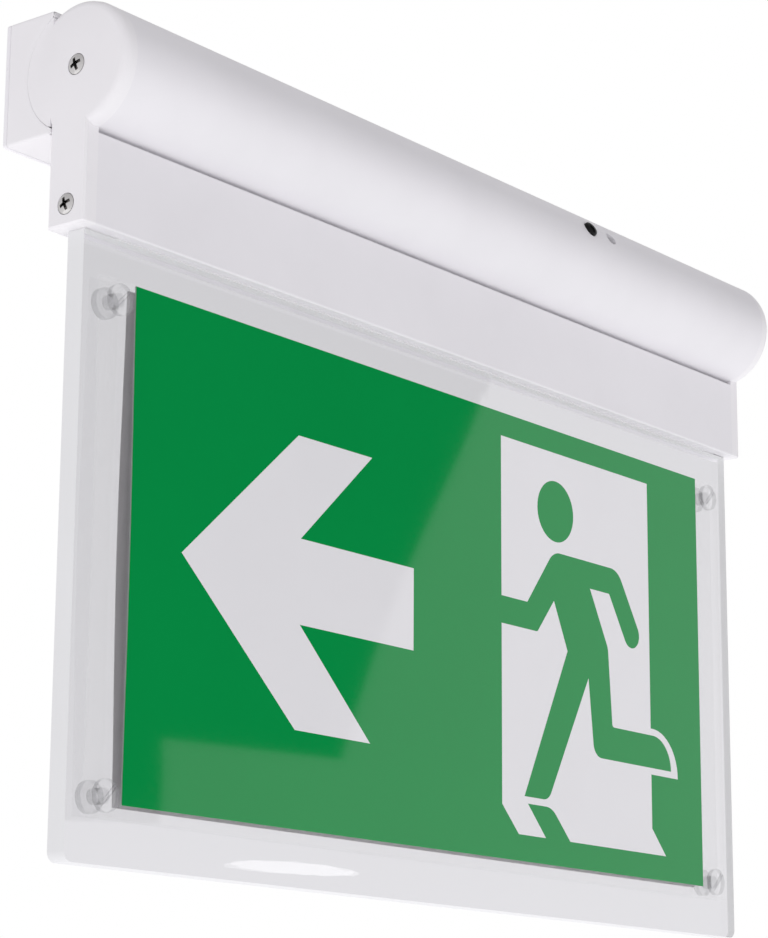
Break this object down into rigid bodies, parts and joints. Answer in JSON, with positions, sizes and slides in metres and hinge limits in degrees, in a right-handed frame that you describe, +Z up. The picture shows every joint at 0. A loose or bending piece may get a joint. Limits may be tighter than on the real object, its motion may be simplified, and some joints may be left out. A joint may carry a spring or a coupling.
{
  "type": "illuminated exit sign",
  "caption": "Wall or ceiling exit sign light: tube housing with a skirt on a swivel base, and an edge-lit clear panel that shows a green escape route film.",
  "frame": {"origin": "middle of the wall plate's rear face, level with the tube's axis", "axes": "+X along the tube to the right as seen from the front, +Y into the wall, +Z up"},
  "size_m": [0.352, 0.0488, 0.2471],
  "materials": {
    "white_steel": "satin",
    "white_aluminium": "satin",
    "white_plastic": "satin",
    "black_plastic": "matte",
    "black_rubber": "matte",
    "bright_steel": "polished",
    "zinc_steel": "satin",
    "clear_acrylic": "gloss",
    "sign_film": "gloss",
    "backing_film": "matte",
    "board_green": "satin",
    "board_white": "satin",
    "led_resin": "gloss",
    "nylon": "satin",
    "ferrite": "matte",
    "can_aluminium": "satin",
    "battery_sleeve": "gloss"
  },
  "bodies": {
    "base": {"wall_plate": "white_steel", "cable_grommet": "black_rubber", "swivel_base": "white_plastic", "clamp_screws": "zinc_steel", "clamp_shoes": "zinc_steel"},
    "housing": {"tube_housing": "white_aluminium", "slot_grommet": "black_rubber", "end_cap_right": "white_plastic", "end_cap_left": "white_plastic", "end_cap_screws": "bright_steel", "gear_tray": "zinc_steel", "status_board": "board_green", "test_switch": "black_plastic", "status_light_pipe": "clear_acrylic", "driver_board": "board_green", "board_pillars": "nylon", "transformer": "ferrite", "capacitors": "can_aluminium", "plug_header": "nylon", "terminal_block": "nylon", "battery_pack": "battery_sleeve", "battery_straps": "zinc_steel", "led_board": "board_white", "led_chips": "led_resin", "panel_frame": "white_plastic", "panel_pins": "zinc_steel", "light_guide_panel": "clear_acrylic", "pictogram_sheet": "sign_film", "backing_sheet": "backing_film", "sheet_studs": "clear_acrylic", "sheet_stud_caps": "clear_acrylic"},
    "button": {"test_button": "black_plastic"}
  },
  "joints": [
    {"name": "housing_swivel", "type": "hinge", "parent": "base", "child": "housing", "pos_m": [0, -0.0293, 0], "axis": [-1, 0, 0], "range_deg": [0, 90]},
    {"name": "test_press", "type": "slide", "parent": "housing", "child": "button", "axis": [0, 0.8746, -0.4848], "range_m": [0, 0.001], "stiffness_N_per_m": 1500, "springref_m": -0.0004}
  ]
}
